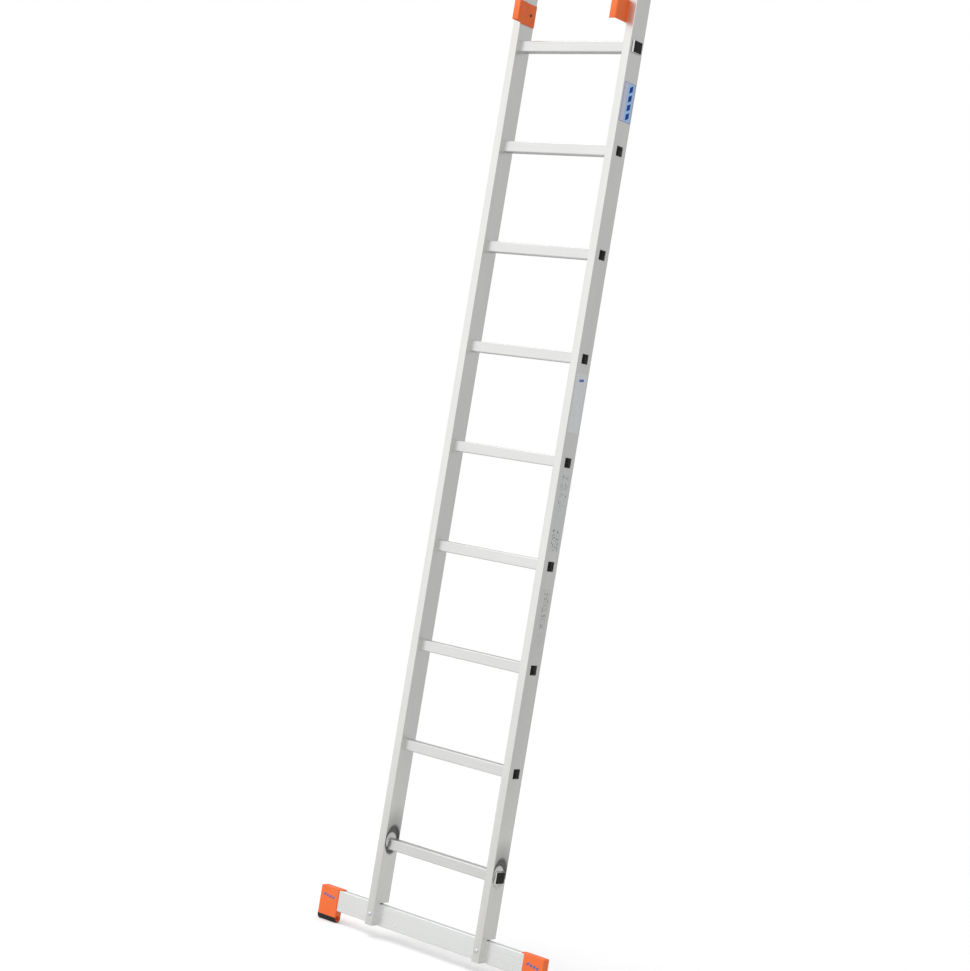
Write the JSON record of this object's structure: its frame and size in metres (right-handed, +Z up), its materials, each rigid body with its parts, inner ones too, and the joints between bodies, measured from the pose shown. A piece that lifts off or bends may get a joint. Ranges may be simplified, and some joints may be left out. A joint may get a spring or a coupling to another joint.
{
  "type": "extension ladder",
  "caption": "Two-section aluminium push-up extension ladder with box stiles, square rungs, orange guides, pivoting rung locks and a wide stabiliser bar on rubber-soled end caps.",
  "frame": {"origin": "on the floor under the middle of the ladder: x half-way between the stiles, y at the middle of the overall depth, z = 0 at the soles", "axes": "+Z up along the stiles, +X along the rungs to the right of someone facing the climbing side, -Y the climbing side, where the guides and the fly section are"},
  "size_m": [0.804, 0.105, 6.017],
  "materials": {
    "stile_aluminium": "mill-finish extrusion with fine lengthwise draw lines",
    "rung_aluminium": "mill-finish extrusion with a grooved tread",
    "bar_aluminium": "smooth extruded tube, slightly cooler than the stiles",
    "orange_plastic": "moulded orange plastic, fine satin grain",
    "black_rubber": "moulded rubber",
    "black_plastic": "moulded plastic, satin",
    "zinc_steel": "bright zinc plating",
    "label_film": "silver printed film",
    "badge_blue": "blue print on the orange cap"
  },
  "bodies": {
    "base_section": {"base_rung_01": "rung_aluminium", "base_rung_02": "rung_aluminium", "base_rung_03": "rung_aluminium", "base_rung_04": "rung_aluminium", "base_rung_05": "rung_aluminium", "base_rung_06": "rung_aluminium", "base_rung_07": "rung_aluminium", "base_rung_08": "rung_aluminium", "base_rung_09": "rung_aluminium", "base_rung_10": "rung_aluminium", "base_rung_11": "rung_aluminium", "base_rung_12": "rung_aluminium", "base_rung_end_caps": "black_plastic", "base_rung_plugs": "black_plastic", "base_stile_left": "stile_aluminium", "base_stile_right": "stile_aluminium", "base_top_caps": "black_plastic", "cap_badges": "badge_blue", "guide_lower_left": "orange_plastic", "guide_lower_right": "orange_plastic", "guide_screws": "zinc_steel", "guide_upper_left": "orange_plastic", "guide_upper_right": "orange_plastic", "label_batch_panel": "label_film", "label_name_panel": "label_film", "label_picture_panel": "label_film", "label_rating_panel": "label_film", "stabiliser_bar": "bar_aluminium", "stabiliser_bolts": "zinc_steel", "stabiliser_cap_left": "orange_plastic", "stabiliser_cap_right": "orange_plastic", "stabiliser_sole_left": "black_rubber", "stabiliser_sole_right": "black_rubber"},
    "fly_section": {"fly_foot_left": "black_rubber", "fly_foot_right": "black_rubber", "fly_rung_01": "rung_aluminium", "fly_rung_02": "rung_aluminium", "fly_rung_03": "rung_aluminium", "fly_rung_04": "rung_aluminium", "fly_rung_05": "rung_aluminium", "fly_rung_06": "rung_aluminium", "fly_rung_07": "rung_aluminium", "fly_rung_08": "rung_aluminium", "fly_rung_09": "rung_aluminium", "fly_rung_10": "rung_aluminium", "fly_rung_11": "rung_aluminium", "fly_rung_12": "rung_aluminium", "fly_rung_plugs": "black_plastic", "fly_stile_left": "stile_aluminium", "fly_stile_right": "stile_aluminium", "fly_top_caps": "black_plastic", "lock_bracket_left": "zinc_steel", "lock_bracket_right": "zinc_steel", "lock_pins": "zinc_steel", "lock_rivets": "zinc_steel", "lock_springs": "zinc_steel"},
    "lock_left": {"lock_hook_left": "zinc_steel"},
    "lock_right": {"lock_hook_right": "zinc_steel"}
  },
  "joints": [
    {"name": "fly_slide", "type": "slide", "parent": "base_section", "child": "fly_section", "axis": [0, 0, 1], "range_m": [-2.52, 0]},
    {"name": "rung_lock_left", "type": "hinge", "parent": "fly_section", "child": "lock_left", "pos_m": [-0.133, -0.0045, 2.822], "axis": [1, 0, 0], "range_deg": [0, 75], "stiffness_Nm_per_rad": 0.1, "springref_deg": -28.65},
    {"name": "rung_lock_right", "type": "hinge", "parent": "fly_section", "child": "lock_right", "pos_m": [0.133, -0.0045, 2.822], "axis": [1, 0, 0], "range_deg": [0, 75], "stiffness_Nm_per_rad": 0.1, "springref_deg": -28.65}
  ]
}
